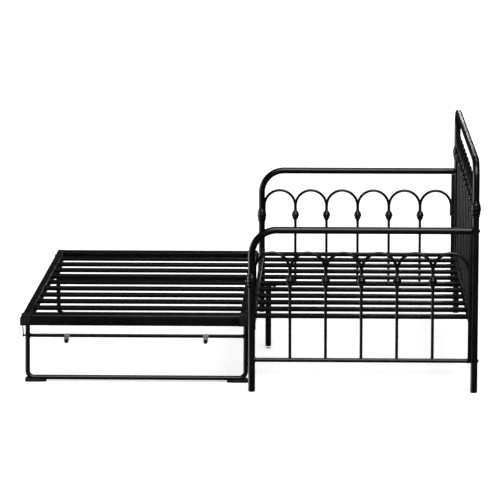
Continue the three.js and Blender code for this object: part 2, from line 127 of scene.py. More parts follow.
class Nodes:
    """A material's node tree, with short ways to add and link nodes."""

    def __init__(self, name):
        self.material = bpy.data.materials.new(name)
        self.material.use_nodes = True
        self.tree = self.material.node_tree
        self.shader = self.tree.nodes["Principled BSDF"]
        self.place = self.tree.nodes.new("ShaderNodeTexCoord").outputs["Object"]

    def set(self, **sockets):
        """Sets constant values on the shader, with underscores for spaces."""
        for name, value in sockets.items():
            self.shader.inputs[name.replace("_", " ")].default_value = value

    def noise(self, scale, detail=2.0, roughness=0.5, stretch=None):
        """A noise texture's value, in object space; stretch scales each axis."""
        texture = self.tree.nodes.new("ShaderNodeTexNoise")
        texture.inputs["Scale"].default_value = scale
        texture.inputs["Detail"].default_value = detail
        texture.inputs["Roughness"].default_value = roughness
        source = self.place
        if stretch:
            mapping = self.tree.nodes.new("ShaderNodeMapping")
            mapping.inputs["Scale"].default_value = stretch
            self.tree.links.new(source, mapping.inputs["Vector"])
            source = mapping.outputs["Vector"]
        self.tree.links.new(source, texture.inputs["Vector"])
        return texture.outputs["Fac"]

    def cells(self, scale):
        """A cell texture's random value per cell, in object space."""
        texture = self.tree.nodes.new("ShaderNodeTexVoronoi")
        texture.inputs["Scale"].default_value = scale
        self.tree.links.new(self.place, texture.inputs["Vector"])
        split = self.tree.nodes.new("ShaderNodeSeparateColor")
        self.tree.links.new(texture.outputs["Color"], split.inputs["Color"])
        return split.outputs["Red"]

    def ridges(self):
        """How convex the surface is, for wear along edges."""
        return self.tree.nodes.new("ShaderNodeNewGeometry").outputs["Pointiness"]

    def spread(self, value, low, high, to_low, to_high):
        """A value mapped from one range to another, clamped."""
        node = self.tree.nodes.new("ShaderNodeMapRange")
        node.inputs["From Min"].default_value = low
        node.inputs["From Max"].default_value = high
        node.inputs["To Min"].default_value = to_low
        node.inputs["To Max"].default_value = to_high
        self.tree.links.new(value, node.inputs["Value"])
        return node.outputs["Result"]

    def combine(self, operation, first, second):
        """Two values joined by a maths operation; second may be a number."""
        node = self.tree.nodes.new("ShaderNodeMath")
        node.operation = operation
        self.tree.links.new(first, node.inputs[0])
        if isinstance(second, (int, float)):
            node.inputs[1].default_value = second
        else:
            self.tree.links.new(second, node.inputs[1])
        return node.outputs["Value"]

    def colour(self, value, dark, light):
        """Feeds the base colour, from dark to light as value goes from 0 to 1."""
        ramp = self.tree.nodes.new("ShaderNodeValToRGB")
        ramp.color_ramp.elements[0].color = (*dark, 1)
        ramp.color_ramp.elements[1].color = (*light, 1)
        self.tree.links.new(value, ramp.inputs["Fac"])
        self.tree.links.new(ramp.outputs["Color"], self.shader.inputs["Base Color"])

    def roughness(self, value):
        """Feeds the shader's roughness."""
        self.tree.links.new(value, self.shader.inputs["Roughness"])

    def bump(self, *layers):
        """Feeds the normal from (value, strength, height in metres) layers."""
        normal = None
        for value, strength, height in layers:
            node = self.tree.nodes.new("ShaderNodeBump")
            node.inputs["Strength"].default_value = strength
            node.inputs["Distance"].default_value = height
            self.tree.links.new(value, node.inputs["Height"])
            if normal:
                self.tree.links.new(normal, node.inputs["Normal"])
            normal = node.outputs["Normal"]
        self.tree.links.new(normal, self.shader.inputs["Normal"])


def powder_coat(name, smooth, rough, shine, coat):
    """Black powder coat: orange-peel texture, thin at the edges, satin with soft patches."""
    nodes = Nodes(name)
    peel = nodes.noise(520, detail=1.5)
    grain = nodes.noise(2600, detail=1.0)
    patches = nodes.noise(7, detail=4.0)
    edges = nodes.spread(nodes.ridges(), 0.53, 0.62, 0.0, 0.6)
    tone = nodes.combine("ADD", nodes.spread(patches, 0.3, 0.7, 0.0, 0.4), edges)
    nodes.colour(tone, (0.0012, 0.0012, 0.0013), (0.0060, 0.0060, 0.0064))
    base = nodes.spread(patches, 0.3, 0.7, smooth, rough)
    nodes.roughness(nodes.combine("ADD", base, nodes.spread(grain, 0.3, 0.7, -0.02, 0.03)))
    nodes.bump((peel, 0.16, 0.25 * MM), (grain, 0.06, 0.05 * MM))
    nodes.set(Specular_IOR_Level=shine, Coat_Weight=coat, Coat_Roughness=0.22)
    return nodes.material


def zinc_plate(name):
    """Zinc plating under a passivated haze: faint spangle, a drawn grain and duller patches."""
    nodes = Nodes(name)
    spangle = nodes.cells(260)
    grain = nodes.noise(900, detail=3.0, stretch=(1, 1, 0.15))
    stain = nodes.noise(45, detail=4.0)
    flakes = nodes.spread(spangle, 0, 1, 0.75, 1.0)
    tone = nodes.combine("MULTIPLY", flakes, nodes.spread(stain, 0.3, 0.7, 0.8, 1.0))
    nodes.colour(tone, (0.60, 0.61, 0.62), (0.94, 0.95, 0.96))
    nodes.roughness(nodes.spread(grain, 0.25, 0.75, 0.36, 0.56))
    nodes.bump((grain, 0.12, 0.05 * MM), (spangle, 0.05, 0.03 * MM))
    nodes.set(Metallic=0.6)
    return nodes.material


def moulded_plastic(name, dark, light, smooth, rough):
    """Moulded plastic: fine spark texture and slight flow marks."""
    nodes = Nodes(name)
    texture = nodes.noise(1400, detail=2.0)
    flow = nodes.noise(30, detail=3.0, stretch=(1, 0.4, 1))
    edges = nodes.spread(nodes.ridges(), 0.52, 0.6, 0.0, 0.5)
    tone = nodes.combine("ADD", nodes.spread(flow, 0.3, 0.7, 0.0, 0.5), edges)
    nodes.colour(tone, dark, light)
    nodes.roughness(nodes.spread(texture, 0.3, 0.7, smooth, rough))
    nodes.bump((texture, 0.25, 0.08 * MM))
    nodes.set(Specular_IOR_Level=0.35)
    return nodes.material


def black_oxide(name):
    """Blackened bolt steel: dark, slightly oily, with a drawn grain."""
    nodes = Nodes(name)
    grain = nodes.noise(1200, detail=3.0)
    edges = nodes.spread(nodes.ridges(), 0.52, 0.6, 0.0, 0.6)
    tone = nodes.combine("ADD", nodes.spread(grain, 0.3, 0.7, 0, 0.4), edges)
    nodes.colour(tone, (0.012, 0.012, 0.013), (0.07, 0.07, 0.072))
    nodes.roughness(nodes.spread(grain, 0.3, 0.7, 0.28, 0.42))
    nodes.bump((grain, 0.15, 0.04 * MM))
    nodes.set(Metallic=0.6)
    return nodes.material


PLASTIC_BLACK = (0.003, 0.003, 0.0033)
WHEEL_WORN = (0.012, 0.012, 0.0125)
PAD_WORN = (0.011, 0.011, 0.0115)
NYLON_SHADE = (0.74, 0.74, 0.70)
NYLON_LIGHT = (0.86, 0.86, 0.83)

MATERIALS = {
    "black_steel": powder_coat("black_powder_coat", 0.24, 0.33, 0.36, 0.16),
    "slat_steel": powder_coat("slat_powder_coat", 0.32, 0.44, 0.14, 0.02),
    "bolt_steel": black_oxide("black_oxide_bolt"),
    "zinc_steel": zinc_plate("zinc_plated_steel"),
    "wheel_plastic": moulded_plastic("caster_wheel_nylon", PLASTIC_BLACK, WHEEL_WORN, 0.34, 0.5),
    "pad_plastic": moulded_plastic("foot_pad_plastic", PLASTIC_BLACK, PAD_WORN, 0.4, 0.56),
    "glide_plastic": moulded_plastic("glide_nylon", NYLON_SHADE, NYLON_LIGHT, 0.36, 0.5),
}

# ------------------------------------------------------------------ mesh tools


def bent_path(corners, bend, steps=14):
    """(point, direction) stations of a polyline whose corners are rounded to one radius."""
    stations = []
    for i, corner in enumerate(corners):
        before = (corner - corners[i - 1]).normalized() if i > 0 else None
        after = (corners[i + 1] - corner).normalized() if i < len(corners) - 1 else None
        if before is None or after is None:
            stations.append((corner.copy(), before or after))
            continue
        turn = before.angle(after)
        axis = before.cross(after).normalized()
        start = corner - before * bend * math.tan(turn / 2)
        centre = start + axis.cross(before) * bend
        for step in range(steps + 1):
            spin = Matrix.Rotation(turn * step / steps, 3, axis)
            stations.append((centre + spin @ (start - centre), spin @ before))
    return stations


def smooth_profile(profile, steps=3):
    """A profile in mm as (height, radius) in metres, with a smooth curve between its points."""
    widest = max(radius for _, radius in profile)
    points = [Vector(p) for p in profile]
    points = [points[0], *points, points[-1]]
    result = []
    for a, b, c, d in zip(points, points[1:], points[2:], points[3:]):
        for step in range(steps):
            t = step / steps
            curve = 0.5 * (2 * b + (c - a) * t + (2 * a - 5 * b + 4 * c - d) * t * t
                           + (3 * b - a - 3 * c + d) * t * t * t)
            result.append((curve.x * MM, min(curve.y, widest) * MM))
    result.append((profile[-1][0] * MM, profile[-1][1] * MM))
    return result


class Piece:
    """One visible piece, built up in a bmesh and then tied to a CAD body."""

    def __init__(self, name, slot):
        self.name = name
        self.slot = slot
        self.bm = bmesh.new()

    def loft(self, rings):
        """Skins a list of rings of points and closes both ends."""
        made = [[self.bm.verts.new(point) for point in ring] for ring in rings]
        for low, high in zip(made, made[1:]):
            for i in range(len(low)):
                j = (i + 1) % len(low)
                self.bm.faces.new((low[i], low[j], high[j], high[i]))
        self.bm.faces.new(list(reversed(made[0])))
        self.bm.faces.new(made[-1])

    def tube(self, stations, radius, sides=TUBE_SIDES, ease=1.2 * MM):
        """A round tube along stations, its two end rims eased."""
        first_point, first_direction = stations[0]
        last_point, last_direction = stations[-1]
        run = [(first_point, first_direction, radius - ease)]
        run.append((first_point + first_direction * ease, first_direction, radius))
        run += [(point, direction, radius) for point, direction in stations[1:-1]]
        run.append((last_point - last_direction * ease, last_direction, radius))
        run.append((last_point, last_direction, radius - ease))
        side = first_direction.orthogonal().normalized()
        before = first_direction
        rings = []
        for point, direction, size in run:
            side = before.rotation_difference(direction) @ side
            before = direction
            other = direction.cross(side)
            rings.append([
                point + (side * math.cos(angle) + other * math.sin(angle)) * size
                for angle in (2 * math.pi * i / sides for i in range(sides))
            ])
        self.loft(rings)

    def rod(self, start, end, radius, sides=ROD_SIDES, ease=0.6 * MM):
        """A straight round bar."""
        direction = (end - start).normalized()
        self.tube([(start, direction), (end, direction)], radius, sides, ease)

    def turned(self, profile, place, sides=28, lobes=0, depth=0.0):
        """A turned shape from (height, radius) pairs, top first; lobes flute its fat part."""
        widest = max(radius for _, radius in profile)
        rings = []
        for height, radius in reversed(profile):
            fat = (radius / widest) ** 6
            ring = []
            for i in range(sides):
                angle = 2 * math.pi * i / sides
                size = radius * (1 - depth * fat * (0.5 - 0.5 * math.cos(lobes * angle)))
                ring.append(place @ Vector((size * math.cos(angle), size * math.sin(angle), height)))
            rings.append(ring)
        self.loft(rings)

    def block(self, low, high, ease=2 * MM, segments=3, place=None):
        """A box with eased edges between two corners."""
        made = bmesh.ops.create_cube(self.bm, size=1.0)["verts"]
        size = high - low
        middle = (low + high) / 2
        for vert in made:
            vert.co = Vector((vert.co[i] * size[i] + middle[i] for i in range(3)))
        edges = list(dict.fromkeys(edge for vert in made for edge in vert.link_edges))
        result = bmesh.ops.bevel(self.bm, geom=edges, offset=ease, segments=segments, profile=0.5,
                                 affect="EDGES", clamp_overlap=True)
        if place:
            verts = dict.fromkeys(vert for face in result["faces"] for vert in face.verts)
            verts.update(dict.fromkeys(vert for vert in made if vert.is_valid))
            bmesh.ops.transform(self.bm, matrix=place, verts=list(verts))

    def plate(self, outline, holes, thickness, place, ease=0.5 * MM):
        """A flat plate with eased edges, cut from an outline with holes, in its own XY plane."""
        curve = bpy.data.curves.new("outline", "CURVE")
        curve.dimensions = "2D"
        curve.fill_mode = "BOTH"
        curve.extrude = thickness / 2 - ease
        curve.bevel_depth = ease
        curve.bevel_resolution = 2
        curve.offset = -ease
        for points in [outline, *holes]:
            spline = curve.splines.new("POLY")
            spline.points.add(len(points) - 1)
            for target, (x, y) in zip(spline.points, points):
                target.co = (x, y, 0, 1)
            spline.use_cyclic_u = True
        holder = bpy.data.objects.new("outline", curve)
        mesh = bpy.data.meshes.new_from_object(holder)
        mesh.transform(place)
        self.bm.from_mesh(mesh)
        bpy.data.objects.remove(holder)
        bpy.data.curves.remove(curve)
        bpy.data.meshes.remove(mesh)

    def weld(self, point, axis, radius, size=3.2 * MM, sink=0.0, seed=0):
        """A rippled weld bead round a rod that meets something at point, and leaves it along axis."""
        place = facing(point, axis)
        profile = [
            (size, radius + 0.1 * MM), (size * 0.75, radius + size * 0.35),
            (size * 0.4, radius + size * 0.62), (0.0, radius + size * 0.8),
            (-sink - size * 0.3, radius + size * 0.7),
        ]
        sides = 30
        rings = []
        for height, reach in reversed(profile):
            ring = []
            for i in range(sides):
                angle = 2 * math.pi * i / sides
                ripple = noise.noise(Vector((math.cos(angle) * 4, math.sin(angle) * 4, seed * 3.1)))
                rough = reach + (reach - radius) * 0.35 * ripple
                ring.append(place @ Vector((rough * math.cos(angle), rough * math.sin(angle), height)))
            rings.append(ring)
        self.loft(rings)

    def done(self, body, *nodes, sharp=40):
        """Makes the object, shades it, ties it to its CAD body and hides the CAD nodes it stands for."""
        bmesh.ops.remove_doubles(self.bm, verts=self.bm.verts, dist=1e-6)
        bmesh.ops.recalc_face_normals(self.bm, faces=self.bm.faces)
        mesh = bpy.data.meshes.new(self.name)
        self.bm.to_mesh(mesh)
        self.bm.free()
        for polygon in mesh.polygons:
            polygon.use_smooth = True
        mesh.set_sharp_from_angle(angle=math.radians(sharp))
        mesh.materials.append(MATERIALS[self.slot])
        piece = bpy.data.objects.new(self.name, mesh)
        bpy.context.scene.collection.objects.link(piece)
        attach(piece, body)
        if nodes:
            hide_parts(*nodes)
        return piece


def circle(radius, centre=(0, 0), sides=32, start=0.0, turn=2 * math.pi):
    """Points round a circle or, with turn, along an arc of it."""
    count = sides if turn == 2 * math.pi else sides + 1
    angles = [start + turn * i / sides for i in range(count)]
    return [(centre[0] + radius * math.cos(a), centre[1] + radius * math.sin(a)) for a in angles]


def facing(point, axis):
    """A matrix that puts a piece's own +Z along axis, at point."""
    return Matrix.Translation(point) @ axis.to_track_quat("Z", "Y").to_matrix().to_4x4()


def oval(radius, low, high, sides=16):
    """A slot's outline along Y, from low to high, which are its round ends' centres."""
    return circle(radius, (0, high), sides, 0, math.pi) + circle(radius, (0, low), sides, math.pi, math.pi)


X = Vector((1, 0, 0))
Y = Vector((0, 1, 0))
Z = Vector((0, 0, 1))

# ------------------------------------------------------------------- fasteners


def button_bolt(name, body, point, axis, radius, height, *nodes):
    """A button-head bolt with a hexagon socket, on a thin washer."""
    piece = Piece(name, "bolt_steel")
    washer = 0.22 * height
    place = facing(point, axis)
    piece.turned([(washer, radius * 0.97), (washer * 0.7, radius), (0, radius)], place, sides=36)
    socket = radius * 0.42
    # Each station: share of the height, and share of the radius.
    dome = [
        (0.22, 0.88), (0.5, 0.87), (0.8, 0.80), (0.96, 0.70), (1.0, 0.60), (0.98, 0.56), (0.66, 0.5),
        (0.62, 0.42),
    ]
    angles = [2 * math.pi * i / 36 for i in range(36)]
    rings = []
    for share, reach in dome:
        rings.append([
            place @ Vector((radius * reach * math.cos(a), radius * reach * math.sin(a), height * share))
            for a in angles
        ])
    for share in (0.97, 0.5):
        ring = []
        for angle in angles:
            corner = (angle + math.pi / 6) % (math.pi / 3) - math.pi / 6
            reach = socket * math.cos(math.pi / 6) / math.cos(corner)
            ring.append(place @ Vector((reach * math.cos(angle), reach * math.sin(angle), height * share)))
        rings.append(ring)
    piece.loft(rings)
    return piece.done(body, *nodes, sharp=32)


def hex_head(piece, point, axis, radius, height):
    """A hexagon head with a chamfered top, on a round washer face."""
    place = facing(point, axis)
    piece.turned([(height * 0.2, radius * 1.05), (0, radius * 1.05)], place, sides=28)
    middle = place.translation
    corners = [place @ Vector((x, y, 0)) for x, y in circle(radius, sides=6)]
    rings = []
    for share, shrink in ((0.15, 1.0), (0.86, 1.0), (1.0, 0.88)):
        rings.append([middle + (corner - middle) * shrink + axis * height * share for corner in corners])
    piece.loft(rings)


# ---------------------------------------------------------------- daybed frame


def post_casting(piece, x, y, z):
    """The ornamental casting round a post."""
    profile = smooth_profile(POST_CASTING_PROFILE)
    piece.turned(profile, Matrix.Translation((x, y, z)), sides=48, lobes=12, depth=0.035)


def post_cap(name, x, y):
    """The plastic cap in a post's foot."""
    cap = Piece(name, "pad_plastic")
    profile = [(CAP_HEIGHT + 12 * MM, POST_R * 0.84), (CAP_HEIGHT - 0.2 * MM, POST_R * 0.86),
               (CAP_HEIGHT - 0.4 * MM, POST_R * 0.985), (1.6 * MM, POST_R * 0.985), (0.5 * MM, POST_R * 0.93),
               (0.0, POST_R * 0.82)]
    cap.turned(profile, Matrix.Translation((x, y, 0)), sides=40)
    cap.done("daybed")


def grille(piece, place, along, count, start, pitch, arch_z, casting_z, foot_z, seed):
    """A row of arches on spindles, with a casting where each pair of arches meets."""
    radius = pitch / 2 - ARCH_LEG_OFFSET
    spring = arch_z - radius
    profile = smooth_profile(CASTING_PROFILE)
    for i in range(count):
        left = start + i * pitch + ARCH_LEG_OFFSET
        middle = left + radius
        stations = [(place(left, casting_z), Z)]
        steps = 28
        for step in range(steps + 1):
            angle = math.pi * (1 - step / steps)
            direction = along * math.sin(angle) - Z * math.cos(angle)
            point = place(middle + radius * math.cos(angle), spring + radius * math.sin(angle))
            stations.append((point, direction))
        stations.append((place(left + 2 * radius, casting_z), -Z))
        piece.tube(stations, ROD_R, ROD_SIDES)
    for i in range(1, count):
        u = start + i * pitch
        piece.rod(place(u, foot_z), place(u, casting_z), ROD_R)
        piece.turned(profile, Matrix.Translation(place(u, casting_z)) @ Matrix.Rotation(0.35 * i, 4, "Z"),
                     sides=36, lobes=8, depth=0.06)
        piece.weld(place(u, foot_z), Z, ROD_R, seed=seed + i)


def arm(end, x):
    """One arm: its bent tube with a post casting, its grille, caps and bolts."""
    tube = Piece(f"{end}_arm_frame", "black_steel")
    corners = [
        Vector((x, FRONT_Y, CAP_HEIGHT)),
        Vector((x, FRONT_Y, ARM_TOP_Z)),
        Vector((x, ARM_REAR_Y, ARM_TOP_Z)),
    ]
    tube.tube(bent_path(corners, ARM_BEND, 24), POST_R)
    casting_z = ARM_ARCH_Z - ARM_CASTING_BELOW_ARCH
    post_casting(tube, x, FRONT_Y, casting_z - CASTING_DROP)
    tube.done("daybed", f"{end}_arm_tube")
    post_cap(f"{end}_front_post_cap", x, FRONT_Y)

    panel = Piece(f"{end}_arm_panel", "black_steel")
    rail_start = FRONT_Y + POST_R - 2 * MM
    stile_front = ARM_REAR_Y - STILE_DEPTH
    panel.rod(Vector((x, rail_start, ARM_RAIL_Z)), Vector((x, stile_front + 2 * MM, ARM_RAIL_Z)), RAIL_R, 28)
    panel.weld(Vector((x, rail_start + 1 * MM, ARM_RAIL_Z)), Y, RAIL_R, size=3.6 * MM, sink=2 * MM, seed=40)
    panel.weld(Vector((x, stile_front, ARM_RAIL_Z)), -Y, RAIL_R, seed=41)
    panel.block(Vector((x - STILE_HALF_WIDTH, stile_front, grille_low.z)),
                Vector((x + STILE_HALF_WIDTH, ARM_REAR_Y, STILE_Z)), 2.2 * MM)
    grille(panel, lambda u, z: Vector((x, u, z)), Y, ARCHES_PER_ARM, FRONT_Y + GRILLE_INSET,
           ARM_ARCH_PITCH, ARM_ARCH_Z, casting_z, ARM_RAIL_Z + ROD_R, seed=3)
    panel.done("daybed", f"{end}_arm_grille")

    for level, z in (("upper", ARM_TOP_Z), ("lower", ARM_RAIL_Z)):
        button_bolt(f"{end}_{level}_arm_screw", "daybed", Vector((x, BACK_Y + POST_R - 0.6 * MM, z)), Y,
                    8 * MM, 5.6 * MM, f"{end}_{level}_arm_bolt")


def back_panel():
    """The bent back tube with its post castings, and the grille under it."""
    tube = Piece("back_frame", "black_steel")
    corners = [
        Vector((-END_X, BACK_Y, CAP_HEIGHT)),
        Vector((-END_X, BACK_Y, BACK_TOP_Z)),
        Vector((END_X, BACK_Y, BACK_TOP_Z)),
        Vector((END_X, BACK_Y, CAP_HEIGHT)),
    ]
    tube.tube(bent_path(corners, BACK_BEND, 24), POST_R)
    casting_z = BACK_ARCH_Z - BACK_CASTING_BELOW_ARCH
    for name, x in (("near", END_X), ("far", -END_X)):
        post_casting(tube, x, BACK_Y, casting_z)
        post_cap(f"{name}_back_post_cap", x, BACK_Y)
    tube.done("daybed", "back_tube")

    panel = Piece("back_panel", "black_steel")
    half = END_X - GRILLE_INSET
    grille(panel, lambda u, z: Vector((u, BACK_Y, z)), X, ARCHES_IN_BACK, -half, 2 * half / ARCHES_IN_BACK,
           BACK_ARCH_Z, casting_z, DECK_Z, seed=60)
    panel.done("daybed", "back_grille")


# ----------------------------------------------------------------------- decks


def slat(name, body, node):
    """A cross slat: a flat tube with rolled edges, lapped on an end tab at each side."""
    low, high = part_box(node)
    piece = Piece(name, "slat_steel")
    piece.block(low, high, 3.2 * MM, 4)
    for y, sign in ((low.y, 1), (high.y, -1)):
        for x in (low.x + 12 * MM, high.x - 12 * MM):
            place = Matrix.Translation((x, y + sign * 16 * MM, high.z - 0.4 * MM))
            piece.turned(SLAT_RIVET, place, 20)
    piece.done(body, node)


def square_bar(name, body, node, slot="slat_steel", ease=3 * MM):
    """A square or flat tube with rounded corners in its node's box."""
    low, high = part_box(node)
    piece = Piece(name, slot)
    piece.block(low, high, ease, 4)
    piece.done(body, node)


def daybed_rail(name, node):
    """A side rail with an end plate bolted to each post."""
    low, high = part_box(node)
    piece = Piece(name, "black_steel")
    piece.block(low, high, 2.5 * MM, 4)
    for x, sign in ((low.x, 1), (high.x, -1)):
        plate_low = Vector((min(x, x + sign * 3 * MM), low.y - 2 * MM, low.z - 12 * MM))
        plate_high = Vector((max(x, x + sign * 3 * MM), high.y + 2 * MM, high.z + 1 * MM))
        piece.block(plate_low, plate_high, 0.8 * MM, 2)
        bolt = Vector((x + sign * 3 * MM, (low.y + high.y) / 2, low.z - 6 * MM))
        hex_head(piece, bolt, X * sign, 5 * MM, 4 * MM)
    piece.done("daybed", node)


def middle_leg():
    """The square middle leg with its top plate, bolts and levelling glide."""
    low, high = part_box("middle_leg")
    glide_low, glide_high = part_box("middle_leg_glide")
    centre_x = (glide_low.x + glide_high.x) / 2
    centre_y = (glide_low.y + glide_high.y) / 2
    half = 14 * MM
    piece = Piece("middle_post", "black_steel")
    piece.block(Vector((centre_x - half, centre_y - half, low.z)),
                Vector((centre_x + half, centre_y + half, high.z)), 2.5 * MM, 4)
    piece.block(Vector((low.x, low.y, high.z - 4 * MM)), high, 1 * MM, 2)
    for x in (low.x + 8 * MM, high.x - 8 * MM):
        hex_head(piece, Vector((x, high.y - 9 * MM, high.z - 4 * MM)), -Z, 5.5 * MM, 4 * MM)
    piece.done("daybed", "middle_leg")

    glide = Piece("levelling_glide", "glide_plastic")
    place = Matrix.Translation((centre_x, centre_y, 0))
    pad = glide_high.x - centre_x
    glide.turned([(glide_high.z, 4.4 * MM), (7.5 * MM, 4.6 * MM), (6.8 * MM, 8 * MM), (6 * MM, pad * 0.9),
                  (5 * MM, pad), (1.4 * MM, pad), (0.4 * MM, pad * 0.96), (0, pad * 0.88)], place, sides=48,
                 lobes=24, depth=0.03)
    for turn in range(4):
        ring = Matrix.Translation((centre_x, centre_y, glide_high.z - (1.6 + 1.5 * turn) * MM))
        glide.turned([(0.6 * MM, 4.4 * MM), (0, 5.0 * MM), (-0.6 * MM, 4.4 * MM)], ring, 24)
    glide.done("daybed", "middle_leg_glide")


# --------------------------------------------------------------------- trundle

trundle_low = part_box("trundle_front_rail")[0]
trundle_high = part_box("trundle_back_rail")[1]
end_rail_low, end_rail_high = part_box("trundle_near_end_rail")
TRUNDLE_Y = (trundle_low.y + trundle_high.y) / 2
TRUNDLE_OUTER = trundle_high.y - HEAD_REACH - TRUNDLE_Y
TRUNDLE_INNER = TRUNDLE_OUTER - 34 * MM
LUG_OUTER = TRUNDLE_OUTER - 24 * MM
LUG_THICK = 5 * MM
PIVOT = Vector(joint("near_leg_fold")["pos_m"])
CAP_PROUD = 8.5 * MM
CAP_WIDTH = 46 * MM
CAP_DEPTH = 58 * MM
CAP_CHAMFER = 17 * MM
ANCHOR_X = 822.5 * MM
ANCHOR_Z = 300 * MM
LINK_R = 7 * MM
LINK_LENGTH = 124 * MM
LINK_SLOT_START = 93 * MM
LINK_SLOT_R = 3.6 * MM
LINK_EYE_R = 4.6 * MM


def trundle_side_rail(name, node, side):
    """A side rail with its pivot lugs, anchor pins and corner caps."""
    outer = TRUNDLE_Y + side * TRUNDLE_OUTER
    inner = TRUNDLE_Y + side * TRUNDLE_INNER
    end = trundle_high.x
    piece = Piece(name, "black_steel")
    piece.block(Vector((-end + 2 * MM, min(outer, inner), end_rail_low.z)),
                Vector((end - 2 * MM, max(outer, inner), end_rail_high.z)), 4 * MM, 4)
    lug_y = TRUNDLE_Y + side * (LUG_OUTER - LUG_THICK / 2)
    for sign in (-1, 1):
        outline = circle(14 * MM, (0, 0), 20, math.pi, math.pi)
        outline += [(16 * MM, 10 * MM), (19 * MM, 14.4 * MM), (-19 * MM, 14.4 * MM), (-16 * MM, 10 * MM)]
        place = Matrix.Translation((sign * PIVOT.x, lug_y, PIVOT.z)) @ Matrix.Rotation(math.pi / 2, 4, "X")
        piece.plate(outline, [circle(4.5 * MM)], LUG_THICK, place)
        anchor = Vector((sign * ANCHOR_X, outer, ANCHOR_Z))
        outward = Y * side
        piece.rod(anchor - outward * 2 * MM, anchor + outward * (HEAD_REACH - 1 * MM), 3 * MM, 24)
        piece.turned(PIN_HEAD, facing(anchor + outward * (HEAD_REACH - 1.6 * MM), outward), 28)
        piece.turned([(1 * MM, 5 * MM), (0, 6 * MM)], facing(anchor, outward), 28)
    piece.done("trundle_frame", node)
    for sign, which in ((-1, "far"), (1, "near")):
        corner_cap(f"{name}_{which}_cap", sign, side)


def corner_cap(name, sign, side):
    """A moulded cap over a trundle corner: proud of the rails, chamfered on top, with ribs and a screw."""
    outer = TRUNDLE_Y + side * (TRUNDLE_OUTER + CAP_PROUD)
    inner = outer - side * CAP_WIDTH
    end = trundle_high.x
    low_z = end_rail_low.z - 0.6 * MM
    high_z = end_rail_high.z + 1 * MM
    cap = Piece(name, "pad_plastic")
    chamfer_z = high_z - CAP_CHAMFER
    outline = [(inner, low_z), (outer, low_z), (outer, chamfer_z),
               (outer - side * CAP_PROUD, high_z), (inner, high_z)]
    across = Matrix(((0, 0, 1, 0), (1, 0, 0, 0), (0, 1, 0, 0), (0, 0, 0, 1)))
    place = Matrix.Translation((sign * (end - CAP_DEPTH / 2), 0, 0)) @ across
    cap.plate(outline, [], CAP_DEPTH, place, ease=1.6 * MM)
    xs = sorted((sign * (end - CAP_DEPTH + 6 * MM), sign * (end - 16 * MM)))
    ys = sorted((outer + side * 0.8 * MM, outer - side * 2 * MM))
    for share in (0.28, 0.5):
        z = low_z + share * (high_z - low_z)
        cap.block(Vector((xs[0], ys[0], z - 1.6 * MM)), Vector((xs[1], ys[1], z + 1.6 * MM)), 0.7 * MM, 2)
    screw = Vector((sign * (end - 9 * MM), outer + side * 0.6 * MM, (low_z + chamfer_z) / 2))
    cap.turned([(0.0, 1.4 * MM), (0.0, 3.4 * MM), (-0.7 * MM, 4.4 * MM), (-3 * MM, 4.4 * MM)],
               facing(screw, Y * side), 24)
    cap.done("trundle_frame")


def trundle_end_rail(name, node, sign):
    """An end rail with a weld bead down each end."""
    low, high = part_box(node)
    piece = Piece(name, "black_steel")
    piece.block(low, high, 4 * MM, 4)
    ripple = [(2.9 * MM, 1.0 * MM), (1.6 * MM, 1.7 * MM), (0, 2.0 * MM), (-1.6 * MM, 1.7 * MM),
              (-2.9 * MM, 1.0 * MM)]
    edge_x = sign * (abs(low.x + high.x) / 2 + 14.2 * MM)
    for y in (low.y, high.y):
        for step in range(9):
            z = low.z + 5 * MM + step * 4.8 * MM
            piece.turned(ripple, Matrix.Translation((edge_x - sign * 1.6 * MM, y, z)), 12)
    piece.done("trundle_frame", node)


# --------------------------------------------------------------- folding legs


